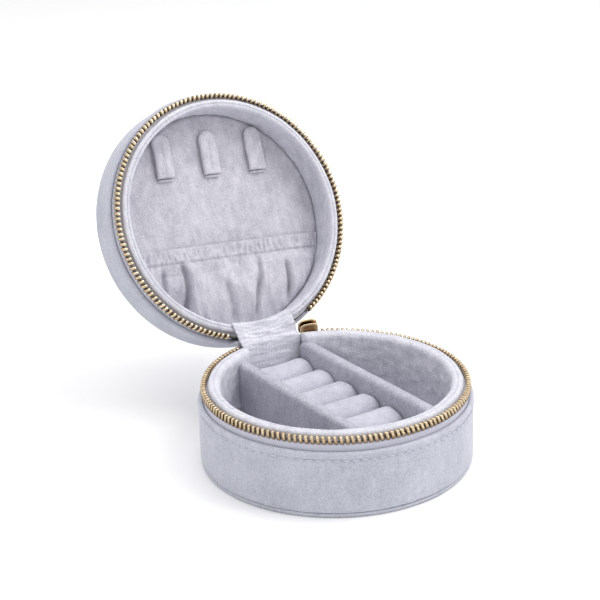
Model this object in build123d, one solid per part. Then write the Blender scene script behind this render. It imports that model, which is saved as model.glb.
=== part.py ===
"""A round velvet travel jewellery case that opens on a fabric hinge and shuts with a metal zip.

Millimetres, +Z up. The origin is the centre of the base's underside. The hinge is at +Y, and the
case is modelled standing open, with its lid leaning back on the hinge fabric. Each lid piece is
drawn as it lies when the case is shut, and is then turned open about the hinge.
"""

import os
from math import asin, cos, degrees, radians, sin, sqrt

from build123d import *

# ---------------------------------------------------------------- driving dimensions
# The whole case
case_radius = 55.0  # outside of the velvet wall
parting_height = 33.8  # the plane where lid and base meet when shut
lid_depth = 23.2  # from the parting plane to the top of the lid
lid_open_angle = 116.2  # from shut to leaning back on the hinge fabric
moving_gap = 0.3  # least room between pieces that move past each other

# Wall layers, from the outside in
velvet = 0.7
wall_board = 1.1
tape = 0.6
liner_board = 2.2
hinge_liner_board = 1.2  # the liner board is thinned where the hinge panel lies on it
lining_velvet = 0.8
base_foam = 2.8
lid_lining_velvet = 0.5
lid_lining_card = 0.6

# Base heights
bottom_seam_height = 2.0
bottom_edge_round = 1.0
floor_board = 1.6
floor_card = 1.0
floor_velvet = 0.8

# Edges that base and lid share, measured from the parting plane
wall_edge_gap = 7.2  # folded edge of the outer velvet
liner_edge_gap = 4.4
tape_tuck = 10.0  # how far the tape is glued in behind the wall's edge

# Lid heights, above the parting plane
lid_panel_height = 15.6  # face of the lid's inner panel
lid_lining_gap = 0.8  # between the lid's lining and the slider's path
panel_velvet = 0.8
panel_board = 1.6
lid_top_board = 1.4
lid_padding = 1.5
lid_edge_round = 2.1

# Zip
tooth_pitch = 2.15
tooth_height = 3.0
tooth_depth = 2.2  # through the tape
tooth_width = 1.25  # along the tape
tooth_slot_height = 1.35
tooth_shoulder = 0.63  # share of the tooth's height where its head starts to taper
tooth_head = 0.68  # share of the tooth's depth left at the tip
tooth_fit = 0.05  # room between tooth and tape on each side
row_gap = 1.6  # between the two rows while the case is shut but not zipped
end_tooth_gap = 1.8  # along the tape, from the slider's stop to the first and last teeth

# Slider and pull
slider_length = 8.2
slider_plate = 0.8
inner_plate = 0.75
inner_plate_height = 6.0
outer_plate_height = 7.8
slider_post_height = 0.9
slider_post_length = 1.6
bail_radius = 0.45
bail_span = 5.4
bail_stand_off = 1.7
pull_eye_clearance = 0.25
pull_eye_wall = 0.6
pull_eye_width = 2.8
pull_length = 17.0
pull_width = 5.0
pull_thickness = 1.2
pull_shoulder_drop = 3.4  # from the bail's axis to the blade
pull_neck_length = 5.0
pull_flat_end = 1.2  # left between the blade's rounded corners

# Base insert
insert_turn = 2.6  # degrees anticlockwise, from above, that the dividers and rolls stand off square
divider_centre = 16.8
divider_board = 2.8
divider_velvet = 1.3
divider_drop = 3.8  # from the parting plane to the dividers' top
tray_board = 1.8
roll_count = 6
roll_top = 24.3
roll_crown = 3.8  # from a roll's top to the dip beside it
roll_velvet = 0.9
roll_gap = 0.2
insert_clearance = 0.1  # between the rolls' ends and a divider

# Hinge panels
panel_side_gap = 0.3  # between the inner panel and a divider
inner_panel_velvet = 0.8
inner_panel_lid_reach = 11.0  # how far it runs into the lid from the parting plane
outer_panel_half_width = 14.7
outer_panel_velvet = 0.7
panel_room = 0.2  # between a hinge panel and the board it lies on
panel_end_gap = 0.1
inner_bend_drop = 2.6  # from the parting plane to the bend in the base
inner_bend_rise = 1.4  # and to the bend in the lid
inner_bend_radius = 2.0
outer_fold_rise = 0.4
outer_fold_radius = 0.9

# Lid pocket and necklace tabs
pocket_mouth_y = 10.0
pocket_casing = 6.5
pocket_bulge = 8.5
pocket_velvet = 0.7
elastic_thickness = 0.4
elastic_width = 4.6
pocket_edge_gap = 0.2
lid_insert_turn = 4.5  # degrees anticlockwise that the pocket and tabs sit off square
tab_spacing = 22.3
tab_width = 7.2
tab_length = 19.4
tab_root_y = -20.8
tab_thickness = 2.2
tab_core = 0.8
tab_panel_gap = 0.5
tab_anchor_length = 1.2
tab_clearance = 0.3

# ---------------------------------------------------------------- worked out from them
board_out = case_radius - velvet
base_wall_top = parting_height - wall_edge_gap
liner_top = parting_height - liner_edge_gap
divider_top = parting_height - divider_drop
roll_valley = roll_top - roll_crown
tape_out = board_out - wall_board
liner_out = tape_out - tape
tape_middle = tape_out - tape / 2
lining_out = liner_out - liner_board
hinge_liner_in = liner_out - hinge_liner_board
base_lining_in = lining_out - 2 * lining_velvet - base_foam
lid_lining_thickness = 2 * lid_lining_velvet + lid_lining_card
lid_lining_out = lining_out - lid_lining_gap
lid_lining_in = lid_lining_out - lid_lining_thickness
lid_top = parting_height + lid_depth
floor_board_z = velvet
floor_board_top = floor_board_z + floor_board
floor_card_top = floor_board_top + floor_card
floor_top = floor_card_top + floor_velvet
base_lip_top = parting_height - moving_gap
base_tooth_z = parting_height - row_gap / 2 - tooth_height
lid_tooth_z = parting_height + row_gap / 2
base_tape_top = base_tooth_z + tooth_slot_height - tooth_fit
lid_tape_bottom = lid_tooth_z + tooth_height - tooth_slot_height + tooth_fit
lid_wall_z = parting_height + wall_edge_gap
lid_liner_z = parting_height + liner_edge_gap
lid_panel_z = parting_height + lid_panel_height
lid_padding_top = lid_top - velvet
lid_padding_z = lid_padding_top - lid_padding
lid_top_board_z = lid_padding_z - lid_top_board
lid_board_z = lid_panel_z + panel_velvet
lid_spacer_z = lid_board_z + panel_board
tooth_in = tape_middle - tooth_depth / 2
tooth_out = tape_middle + tooth_depth / 2
inner_plate_out = tooth_in - moving_gap
inner_plate_in = inner_plate_out - inner_plate
outer_plate_in = tooth_out + moving_gap
outer_plate_out = outer_plate_in + slider_plate
bail_axis_r = outer_plate_out + bail_stand_off

divider_in = divider_centre - divider_board / 2 - divider_velvet
insert_half_width = divider_in - insert_clearance
lining_gap_half_width = insert_half_width

# The hinge panels lie against the liner board and behind the zip, and the hinge line is in the outer one.
inner_panel_half_width = lining_gap_half_width - panel_side_gap
inner_panel_back = sqrt(hinge_liner_in**2 - inner_panel_half_width**2)
inner_panel_y = inner_panel_back - panel_room - inner_panel_velvet / 2
outer_panel_y = board_out - panel_room - outer_panel_velvet
hinge_y = outer_panel_y

# Angles run from +Y towards +X. The slider stops beside the panels, and the rows begin just past it.
inner_stop = degrees(asin((inner_panel_half_width + moving_gap) / inner_plate_in))
outer_stop = degrees(asin((outer_panel_half_width + moving_gap) / outer_plate_in))
stop_angle = max(inner_stop, outer_stop)
half_angle = degrees(slider_length / 2 / tape_middle)
slider_angle = stop_angle + half_angle
end_gap_angle = degrees(end_tooth_gap / tape_middle)
base_tape_start = stop_angle
base_tape_end = 360 - stop_angle
lid_tape_start = slider_angle + half_angle + end_gap_angle / 3
row_start = slider_angle + half_angle + end_gap_angle
row_end = 360 - stop_angle - end_gap_angle

tray_top = floor_top + tray_board

os.makedirs("parts", exist_ok=True)


# ---------------------------------------------------------------- helpers
def tube(outer, inner, low, high):
    """A round wall standing on +Z between two heights."""
    wall = Pos(0, 0, low) * Cylinder(outer, high - low, align=(Align.CENTER, Align.CENTER, Align.MIN))
    bore = Pos(0, 0, low) * Cylinder(inner, high - low, align=(Align.CENTER, Align.CENTER, Align.MIN))
    return wall - bore


def disc(radius, low, high):
    """A round plate between two heights."""
    return Pos(0, 0, low) * Cylinder(radius, high - low, align=(Align.CENTER, Align.CENTER, Align.MIN))


def block(x0, x1, y0, y1, z0, z1):
    """A box between two corners."""
    centre = Pos((x0 + x1) / 2, (y0 + y1) / 2, (z0 + z1) / 2)
    return centre * Box(x1 - x0, y1 - y0, z1 - z0)


def turned(outline, start=0.0, end=360.0):
    """An outline of (radius, height) points turned about Z from start to end degrees.

    Angles run from +Y towards +X, as on a clock face seen from above.
    """
    face = make_face(Plane.XZ * outline)
    solid = revolve(face, axis=Axis.Z, revolution_arc=end - start)
    return Rot(0, 0, 90 - end) * solid


def ring_wall(outer, inner, low, high, start, end):
    """A curved wall over part of the circle."""
    points = [(inner, low), (outer, low), (outer, high), (inner, high)]
    return turned(Polyline(*points, close=True), start, end)


def rounded_wall_outline(outer, inner, low, high):
    """A wall's section whose upper edge is fully round."""
    radius = (outer - inner) / 2
    middle = (outer + inner) / 2
    shoulder = high - radius
    top = ThreePointArc((outer, shoulder), (middle, high), (inner, shoulder))
    rest = Polyline((inner, shoulder), (inner, low), (outer, low), (outer, shoulder))
    return Wire([*top.edges(), *rest.edges()])


def rounded_wall(outer, inner, low, high):
    """A full ring with a fully round upper edge."""
    return turned(rounded_wall_outline(outer, inner, low, high))


def upside_down(solid):
    """Mirrors a piece across the parting plane, for the lid."""
    return mirror(solid, Plane.XY.offset(parting_height))


def open_lid(solid):
    """Turns a lid piece from shut to open about the hinge line."""
    about_hinge = Pos(0, hinge_y, parting_height)
    return about_hinge * Rot(-lid_open_angle, 0, 0) * about_hinge.inverse() * solid


def write(name, solid):
    """Writes one piece to its own file."""
    export_step(solid, f"parts/{name}.step")


def write_lid(name, solid, turn=0.0):
    """Writes one lid piece, turned open. A turn first swings it about the lid's own axis."""
    write(name, open_lid(Rot(0, 0, turn) * solid))


# ---------------------------------------------------------------- base shell
# The underside is a shallow velvet cup, its rim seamed to the wall just above the floor.
cup = disc(case_radius, 0, bottom_seam_height)
cup = fillet(cup.edges().group_by(Axis.Z)[0], bottom_edge_round)
cup -= disc(board_out, velvet, bottom_seam_height)
write("base_bottom_cover", cup)
write("base_floor_board", disc(board_out, floor_board_z, floor_board_top))

# The wall board carries the outer velvet, which folds over its top edge.
wall_board_top = base_wall_top - velvet
write("base_wall_board", tube(board_out, tape_out, floor_board_top, wall_board_top))
wall_cover = tube(case_radius, board_out, bottom_seam_height, wall_board_top)
wall_cover += tube(case_radius, tape_out, wall_board_top, base_wall_top)
write("base_wall_cover", wall_cover)

# The liner board stands inside the zip tape, and is thinner behind the hinge panel.
thinned = disc(hinge_liner_in, floor_board_top, liner_top)
thinned &= block(-lining_gap_half_width, lining_gap_half_width, 0, case_radius, 0, parting_height)
write("base_liner_board", tube(liner_out, lining_out, floor_board_top, liner_top) - thinned)

# A foam ring in a velvet sleeve makes the soft wall and its rounded lip. Both stop at the hinge.
hinge_gap = block(-lining_gap_half_width, lining_gap_half_width, 0, case_radius, 0, parting_height)
foam_in = base_lining_in + lining_velvet
foam_out = lining_out - lining_velvet
sleeve = rounded_wall(lining_out, base_lining_in, floor_board_top, base_lip_top)
foam = rounded_wall(foam_out, foam_in, floor_board_top, base_lip_top - lining_velvet)
write("base_wall_lining", sleeve - foam - hinge_gap)
write("base_wall_foam", foam - hinge_gap)

# The floor is a velvet-covered card that drops in between the walls.
floor_shape = disc(base_lining_in, floor_board_top, floor_card_top)
write("base_floor_card", floor_shape)
write("base_floor_lining", disc(base_lining_in, floor_card_top, floor_top))


# ---------------------------------------------------------------- zip tapes and teeth
def tooth_outline():
    """A tooth's section across the tape: two legs that clamp it and a tapered head."""
    half = tooth_depth / 2
    slot = tape / 2 + tooth_fit
    shoulder = tooth_height * tooth_shoulder
    points = [
        (-half, 0),
        (-slot, 0),
        (-slot, tooth_slot_height),
        (slot, tooth_slot_height),
        (slot, 0),
        (half, 0),
        (half, shoulder),
        (half * tooth_head, tooth_height),
        (-half * tooth_head, tooth_height),
        (-half, shoulder),
    ]
    return Polyline(*points, close=True)


def tooth_row(first, last):
    """Separate teeth clamped along a tape's upper edge, from one angle to another."""
    face = make_face(Plane.XZ * tooth_outline())
    tooth = extrude(face, amount=tooth_width / 2, both=True)
    tooth = Pos(tape_middle, 0, base_tooth_z) * tooth
    step = degrees(tooth_pitch / tape_middle)
    count = int((last - first) / step) + 1
    return Compound(children=[Rot(0, 0, 90 - first - i * step) * tooth for i in range(count)])


tape_bottom = base_wall_top - tape_tuck
write(
    "base_zip_tape",
    ring_wall(tape_out, liner_out, tape_bottom, base_tape_top, base_tape_start, base_tape_end),
)
write("base_zip_teeth", tooth_row(row_start, row_end))
lid_tape_top = lid_wall_z + tape_tuck
write_lid(
    "lid_zip_tape",
    ring_wall(tape_out, liner_out, lid_tape_bottom, lid_tape_top, lid_tape_start, base_tape_end),
)
half_step = degrees(tooth_pitch / tape_middle) / 2
write_lid("lid_zip_teeth", upside_down(tooth_row(row_start + half_step, row_end)))

# ---------------------------------------------------------------- base insert
# Two velvet-covered boards divide the base into a middle channel and two side compartments.
inside = disc(base_lining_in, floor_top, parting_height)
insert_at = Rot(0, 0, insert_turn)
for side, name in ((-1, "left"), (1, "right")):
    x_low = side * divider_centre - divider_board / 2
    x_high = side * divider_centre + divider_board / 2
    board_top = divider_top - divider_velvet
    reach = base_lining_in
    board = insert_at * block(x_low, x_high, -reach, reach, floor_top, board_top)
    cover_low = x_low - divider_velvet
    cover_high = x_high + divider_velvet
    cover = insert_at * block(cover_low, cover_high, -reach, reach, floor_top, divider_top)
    write(f"divider_{name}_board", board & inside)
    write(f"divider_{name}_cover", (cover - board) & inside)

# The ring rolls stand side by side on a tray board between the dividers.
tray_back = inner_panel_y - inner_panel_velvet / 2 - moving_gap
back_run = block(-insert_half_width, insert_half_width, 0, tray_back, floor_top, parting_height)
channel = disc(base_lining_in, floor_top, parting_height) + back_run
foam_channel = disc(base_lining_in - roll_velvet, floor_top, parting_height) + back_run
tray_reach = tray_back + insert_half_width
tray = block(-insert_half_width, insert_half_width, -base_lining_in, tray_reach, floor_top, tray_top)
write("ring_tray_board", insert_at * tray & channel)


def roll_outline(width, low, valley, crest):
    """A roll's section: upright sides and a shallow round crown."""
    half = width / 2
    crown = ThreePointArc((half, valley), (0, crest), (-half, valley))
    sides = Polyline((-half, valley), (-half, low), (half, low), (half, valley))
    return make_face(Plane.YZ * Wire([*crown.edges(), *sides.edges()]))


roll_front = -sqrt(base_lining_in**2 - insert_half_width**2)
roll_pitch = (tray_back - roll_front) / roll_count
for number in range(roll_count):
    width = roll_pitch - roll_gap
    middle = tray_back - (number + 0.5) * roll_pitch
    outer_face = roll_outline(width, tray_top, roll_valley, roll_top)
    outer = extrude(outer_face, insert_half_width, both=True)
    foam_width = width - 2 * roll_velvet
    foam_face = roll_outline(foam_width, tray_top, roll_valley - roll_velvet, roll_top - roll_velvet)
    inner = extrude(foam_face, insert_half_width - roll_velvet, both=True)
    outer = insert_at * Pos(0, middle, 0) * outer & channel
    inner = insert_at * Pos(0, middle, 0) * inner & foam_channel
    write(f"ring_roll_cover_{number + 1}", outer - inner)
    write(f"ring_roll_foam_{number + 1}", inner)

# ---------------------------------------------------------------- lid shell
wall_board_edge = lid_wall_z + velvet
write_lid("lid_wall_board", tube(board_out, tape_out, wall_board_edge, lid_padding_z))
lid_cover = tube(case_radius, board_out, wall_board_edge, lid_padding_z)
lid_cover += tube(case_radius, tape_out, lid_wall_z, wall_board_edge)
write_lid("lid_wall_cover", lid_cover)
write_lid("lid_top_board", disc(tape_out, lid_top_board_z, lid_padding_z))

# Thin foam softens the top, under a velvet cap whose edge is rounded.
padding = disc(board_out, lid_padding_z, lid_padding_top)
padding = fillet(padding.edges().group_by(Axis.Z)[-1], lid_edge_round - velvet)
cap = disc(case_radius, lid_padding_z, lid_top)
cap = fillet(cap.edges().group_by(Axis.Z)[-1], lid_edge_round)
write_lid("lid_top_padding", padding)
write_lid("lid_top_cover", cap - padding)

# ---------------------------------------------------------------- lid lining
lid_thinned = disc(hinge_liner_in, lid_liner_z, lid_panel_z)
lid_thinned &= block(-lining_gap_half_width, lining_gap_half_width, 0, case_radius, 0, lid_panel_z)
lid_liner = tube(liner_out, lid_lining_out, lid_liner_z, lid_top_board_z)
write_lid("lid_liner_board", lid_liner - lid_thinned)
lid_hinge_gap = block(
    -lining_gap_half_width, lining_gap_half_width, 0, case_radius, parting_height, lid_panel_z
)
mirrored_panel_z = 2 * parting_height - lid_panel_z
lid_sleeve = rounded_wall(lid_lining_out, lid_lining_in, mirrored_panel_z, base_lip_top)
card_out = lid_lining_out - lid_lining_velvet
card_in = lid_lining_in + lid_lining_velvet
card = tube(card_out, card_in, mirrored_panel_z, base_lip_top - lid_lining_thickness / 2)
write_lid("lid_wall_lining", upside_down(lid_sleeve - card) - lid_hinge_gap)
write_lid("lid_lining_card", upside_down(card) - lid_hinge_gap)

# The padded panel closes the lid's inside, on a foam spacer under the top board.
write_lid("lid_panel_cover", disc(lid_lining_out, lid_panel_z, lid_board_z))
write_lid("lid_panel_board", disc(lid_lining_out, lid_board_z, lid_spacer_z))
write_lid("lid_spacer_foam", disc(lid_lining_out, lid_spacer_z, lid_top_board_z))

# ---------------------------------------------------------------- lid pocket
# The pocket is a bulged skin, joined to the panel round its edge and open along its mouth.
pocket_radius = lid_lining_in - pocket_edge_gap
bulge_radius = (pocket_radius**2 + pocket_bulge**2) / (2 * pocket_bulge)
bulge_centre_z = lid_panel_z - pocket_bulge + bulge_radius


def pocket_layer(outside, thickness, y_low, y_high):
    """A layer of the bulged skin, a given way behind its face, between two lines."""
    layer = Pos(0, 0, bulge_centre_z) * Sphere(bulge_radius - outside)
    layer -= Pos(0, 0, bulge_centre_z) * Sphere(bulge_radius - outside - thickness)
    bounds = disc(pocket_radius, parting_height, lid_panel_z)
    bounds &= block(-pocket_radius, pocket_radius, y_low, y_high, parting_height, lid_panel_z)
    return layer & bounds


casing_end = pocket_mouth_y + pocket_casing
elastic_start = pocket_mouth_y + (pocket_casing - elastic_width) / 2
front = pocket_layer(0, pocket_velvet, pocket_mouth_y, pocket_radius)
write_lid("pocket_front", front, lid_insert_turn)
elastic = pocket_layer(pocket_velvet, elastic_thickness, elastic_start, elastic_start + elastic_width)
write_lid("pocket_elastic", elastic, lid_insert_turn)
hem = pocket_layer(pocket_velvet, elastic_thickness * 2, pocket_mouth_y, casing_end)
write_lid("pocket_hem", hem - elastic, lid_insert_turn)


# ---------------------------------------------------------------- necklace tabs
def tab_shape(width, length, z_low, z_high):
    """A flat tab with a square root and a round free end, its root on the X axis."""
    radius = width / 2
    straight = block(-radius, radius, radius - length, 0, z_low, z_high)
    end = Pos(0, radius - length, z_low) * Cylinder(
        radius, z_high - z_low, align=(Align.CENTER, Align.CENTER, Align.MIN)
    )
    return straight + end


tab_top = lid_panel_z - tab_panel_gap
tab_bottom = tab_top - tab_thickness
core_bottom = tab_top - (tab_thickness + tab_core) / 2
tab_skin = (tab_thickness - tab_core) / 2
anchors = []
for place, name in ((-1, "left"), (0, "middle"), (1, "right")):
    at = Pos(place * tab_spacing, tab_root_y, 0)
    cover = tab_shape(tab_width, tab_length, tab_bottom, tab_top)
    core_width = tab_width - 2 * tab_skin
    core_length = tab_length - 2 * tab_skin
    core = tab_shape(core_width, core_length, core_bottom, core_bottom + tab_core)
    core = Pos(0, -tab_skin, 0) * core
    write_lid(f"hook_tab_{name}_cover", at * (cover - core), lid_insert_turn)
    write_lid(f"hook_tab_{name}_core", at * core, lid_insert_turn)
    anchor_low = tab_root_y + tab_clearance
    anchors.append(
        block(
            place * tab_spacing - tab_width / 2,
            place * tab_spacing + tab_width / 2,
            anchor_low,
            anchor_low + tab_anchor_length,
            tab_bottom,
            lid_panel_z,
        )
    )
write_lid("hook_tab_anchors", Compound(children=anchors), lid_insert_turn)


# ---------------------------------------------------------------- hinge panels
def shut_to_open(y, z):
    """Where a lid point, given as it lies when shut, stands when the lid is open."""
    turn = radians(lid_open_angle)
    across = y - hinge_y
    up = z - parting_height
    return (
        hinge_y + across * cos(turn) + up * sin(turn),
        parting_height - across * sin(turn) + up * cos(turn),
    )


def strip(points, radii, thickness, half_width):
    """A fabric strip of one thickness that follows a bent line in the YZ plane."""
    line = Plane.YZ * FilletPolyline(*points, radius=radii)
    section_plane = Plane(line @ 0, x_dir=(1, 0, 0), z_dir=line % 0)
    section = section_plane * Rectangle(2 * half_width, thickness)
    return sweep(section, path=line)


# The inner panel runs up the base's back wall, over the hinge and into the lid.
lid_y = inner_panel_y
lid_start = shut_to_open(lid_y, parting_height + inner_bend_rise)
lid_finish = shut_to_open(lid_y, parting_height + inner_panel_lid_reach)
base_bend_z = parting_height - inner_bend_drop
bends = [inner_bend_radius, inner_bend_radius]
inner_points = [(inner_panel_y, tray_top), (inner_panel_y, base_bend_z), lid_start, lid_finish]
inner_panel = strip(inner_points, bends, inner_panel_velvet, inner_panel_half_width)
write("hinge_inner_panel", inner_panel)

# The outer panel folds over the hinge line from the base's wall edge to the lid's.
outer_low = base_wall_top + panel_end_gap
fold = (outer_panel_y, parting_height + outer_fold_rise)
outer_finish = shut_to_open(outer_panel_y, lid_wall_z - panel_end_gap)
outer_points = [(outer_panel_y, outer_low), fold, outer_finish]
outer_panel = strip(outer_points, [outer_fold_radius], outer_panel_velvet, outer_panel_half_width)
write("hinge_outer_panel", outer_panel)

# ---------------------------------------------------------------- zip slider and pull
start_angle = slider_angle - half_angle
end_angle = slider_angle + half_angle


def centred_wall(outer, inner, height, start, end):
    """A curved plate centred on the parting plane."""
    low = parting_height - height / 2
    return ring_wall(outer, inner, low, low + height, start, end)


post_half_angle = degrees(slider_post_length / 2 / tape_middle)
body = centred_wall(inner_plate_out, inner_plate_in, inner_plate_height, start_angle, end_angle)
body += centred_wall(outer_plate_out, outer_plate_in, outer_plate_height, start_angle, end_angle)
body += centred_wall(
    outer_plate_in,
    inner_plate_out,
    slider_post_height,
    slider_angle - post_half_angle,
    slider_angle + post_half_angle,
)
write("zip_slider_body", body)

# A bail arches off the outer plate, and the pull's curled eye hangs on it.
slider_turn = Rot(0, 0, -slider_angle)
bail_bar = Pos(0, bail_axis_r, parting_height) * Rot(0, 90, 0) * Cylinder(bail_radius, bail_span)
bail = bail_bar
for side in (-1, 1):
    leg_x = side * (bail_span / 2 - bail_radius)
    leg = block(
        leg_x - bail_radius,
        leg_x + bail_radius,
        outer_plate_in + slider_plate / 2,
        bail_axis_r,
        parting_height - bail_radius,
        parting_height + bail_radius,
    )
    bail += leg
bail -= disc(outer_plate_out, 0, 2 * parting_height)
write("zip_slider_bail", slider_turn * bail)

eye_in = bail_radius + pull_eye_clearance
eye_out = eye_in + pull_eye_wall
at_bail = Pos(0, bail_axis_r, parting_height)
eye = at_bail * Rot(0, 90, 0) * Cylinder(eye_out, pull_eye_width)
pull_end = parting_height - pull_length
blade = block(
    -pull_width / 2,
    pull_width / 2,
    bail_axis_r - pull_thickness / 2,
    bail_axis_r + pull_thickness / 2,
    pull_end,
    parting_height - pull_shoulder_drop,
)
blade = fillet(blade.edges().filter_by(Axis.Y), (pull_width - pull_flat_end) / 2)
neck = block(
    -pull_eye_width / 2,
    pull_eye_width / 2,
    bail_axis_r - pull_thickness / 2,
    bail_axis_r + pull_thickness / 2,
    parting_height - pull_neck_length,
    parting_height - eye_in,
)
pull = eye + blade + neck
pull -= at_bail * Rot(0, 90, 0) * Cylinder(eye_in, pull_width * 2)
write("zip_pull", slider_turn * pull)
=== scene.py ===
"""A round velvet travel jewellery case, standing open with its lid leaning back on the hinge."""

from math import cos, degrees, pi, radians, sin, sqrt

import bmesh
import bpy
import numpy as np
from mathutils import Matrix, Vector


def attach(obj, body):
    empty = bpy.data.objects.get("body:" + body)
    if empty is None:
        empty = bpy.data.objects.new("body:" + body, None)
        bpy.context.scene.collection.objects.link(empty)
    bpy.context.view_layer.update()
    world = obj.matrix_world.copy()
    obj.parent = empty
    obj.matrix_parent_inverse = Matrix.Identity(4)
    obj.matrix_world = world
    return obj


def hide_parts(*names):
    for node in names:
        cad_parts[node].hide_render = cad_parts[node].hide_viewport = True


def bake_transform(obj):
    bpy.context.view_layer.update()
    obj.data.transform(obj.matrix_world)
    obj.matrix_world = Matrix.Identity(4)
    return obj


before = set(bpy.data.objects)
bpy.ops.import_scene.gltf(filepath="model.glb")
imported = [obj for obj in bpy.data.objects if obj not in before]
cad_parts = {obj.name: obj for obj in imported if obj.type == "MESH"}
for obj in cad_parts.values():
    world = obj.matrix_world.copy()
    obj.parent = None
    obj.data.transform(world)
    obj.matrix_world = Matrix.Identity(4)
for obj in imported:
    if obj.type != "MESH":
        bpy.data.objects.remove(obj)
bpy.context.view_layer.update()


# ---------------------------------------------------------------- the studio
# A pale matt table, a broad soft lamp high on the right, a weaker one on the left, and an even
# white surround. The camera looks down on the open case from the front left.
MM = 0.001


class Level:
    """One value over a surface. Sums and products of it add Math nodes."""

    def __init__(self, finish, socket):
        self.finish = finish
        self.socket = socket

    def maths(self, operation, first, second):
        return self.finish.node("ShaderNodeMath", {"operation": operation}, {0: first, 1: second})

    def __add__(self, other):
        return self.maths("ADD", self, other)

    def __sub__(self, other):
        return self.maths("SUBTRACT", self, other)

    def __rsub__(self, other):
        return self.maths("SUBTRACT", other, self)

    def __mul__(self, other):
        return self.maths("MULTIPLY", self, other)

    __radd__ = __add__
    __rmul__ = __mul__


class Finish:
    """A material that keeps the name of a slot: a Principled shader and the nodes that feed it."""

    def __init__(self, name, slot=None, **fixed):
        self.slot = slot
        self.material = bpy.data.materials.new(name)
        self.material.use_nodes = True
        self.tree = self.material.node_tree
        self.tree.nodes.clear()
        self.shader = self.tree.nodes.new("ShaderNodeBsdfPrincipled")
        output = self.tree.nodes.new("ShaderNodeOutputMaterial")
        self.tree.links.new(self.shader.outputs[0], output.inputs[0])
        for socket, value in fixed.items():
            self.shader.inputs[socket.replace("_", " ")].default_value = value

    def node(self, kind, settings, sockets, output=0):
        """Adds a node: its settings first, then the values or links of its sockets."""
        made = self.tree.nodes.new(kind)
        for name, value in settings.items():
            setattr(made, name, value)
        for name, value in sockets.items():
            if isinstance(value, Level):
                self.tree.links.new(value.socket, made.inputs[name])
            else:
                made.inputs[name].default_value = value
        return Level(self, made.outputs[output])

    def place(self):
        """Where a point is, in metres, in its own piece."""
        return self.node("ShaderNodeTexCoord", {}, {}, "Object")

    def noise(self, size, detail=2.0, where=None):
        """Smooth random patches of about a size in millimetres, from 0 to 1."""
        sockets = {"Vector": where or self.place(), "Scale": 1000 / size, "Detail": detail}
        return self.node("ShaderNodeTexNoise", {}, sockets)

    def mix(self, factor, first, second):
        """A colour between two others."""
        sockets = {0: factor, 6: first, 7: second}
        return self.node("ShaderNodeMix", {"data_type": "RGBA"}, sockets, 2)

    def steps(self, level, low, high):
        """A level stretched so that low becomes 0 and high becomes 1."""
        sockets = {0: level, 1: low, 2: high, 3: 0.0, 4: 1.0}
        return self.node("ShaderNodeMapRange", {"clamp": True}, sockets)

    def bump(self, height, depth, under=None):
        """A relief whose highest points stand depth millimetres up."""
        sockets = {"Height": height, "Distance": depth * MM, "Strength": 1.0}
        if under:
            sockets["Normal"] = under
        return self.node("ShaderNodeBump", {}, sockets)

    def feed(self, socket, level):
        self.tree.links.new(level.socket, self.shader.inputs[socket])


table_size = 6.0
table = bpy.data.meshes.new("table_top")
half = table_size / 2
table_corners = [(-half, -half, 0), (half, -half, 0), (half, half, 0), (-half, half, 0)]
table.from_pydata(table_corners, [], [(0, 1, 2, 3)])
table_top = bpy.data.objects.new("table_top", table)
bpy.context.scene.collection.objects.link(table_top)
matt = Finish("matt_table", Specular_IOR_Level=0.1, Roughness=0.9)
speckle = matt.noise(40.0)
matt.feed("Base Color", matt.mix(speckle, (0.93, 0.93, 0.935, 1), (0.95, 0.95, 0.955, 1)))
table.materials.append(matt.material)

world = bpy.data.worlds.new("surround")
world.use_nodes = True
surround = world.node_tree.nodes["Background"]
surround.inputs["Color"].default_value = (1.0, 1.0, 1.0, 1)
surround.inputs["Strength"].default_value = 0.85
bpy.context.scene.world = world
bpy.context.scene.view_settings.view_transform = "Standard"


def lamp(name, place, aim, size, power):
    """A square soft lamp that faces a point."""
    light = bpy.data.lights.new(name, "AREA")
    light.size = size
    light.energy = power
    lit = bpy.data.objects.new(name, light)
    lit.location = place
    lit.rotation_euler = (Vector(aim) - Vector(place)).to_track_quat("-Z", "Y").to_euler()
    bpy.context.scene.collection.objects.link(lit)


lamp("key_lamp", (0.55, -0.35, 0.85), (0, 0.03, 0.04), size=0.7, power=5.0)
lamp("left_lamp", (-0.9, -0.5, 0.5), (0, 0.03, 0.05), size=0.8, power=0.5)
lamp("top_lamp", (0.0, 0.25, 1.1), (0, 0.03, 0.05), size=0.9, power=4.0)

# The view: angles in degrees, lengths in millimetres
view_side = radians(-31.5)
view_down = radians(20.91)
view_roll = radians(-1.41)
view_distance = 608.1
view_zoom = 1528.9 / 600.0
aim_across = -13.39
aim_up = 24.98
back = Vector((sin(view_side) * cos(view_down), -cos(view_side) * cos(view_down), sin(view_down)))
right = (-back).cross(Vector((0, 0, 1))).normalized()
up = right.cross(-back)
aim = right * aim_across + up * aim_up + Vector((0, 0, 40))
rolled_right = right * cos(view_roll) + up * sin(view_roll)
rolled_up = up * cos(view_roll) - right * sin(view_roll)
camera = bpy.data.objects.new("camera", bpy.data.cameras.new("camera"))
camera.data.sensor_width = 36.0
camera.data.lens = view_zoom * camera.data.sensor_width
camera.data.clip_start = 0.01
camera.matrix_world = Matrix.Translation((aim + back * view_distance) * MM) @ Matrix(
    (rolled_right, rolled_up, back)
).transposed().to_4x4()
bpy.context.scene.collection.objects.link(camera)
bpy.context.scene.camera = camera


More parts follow.
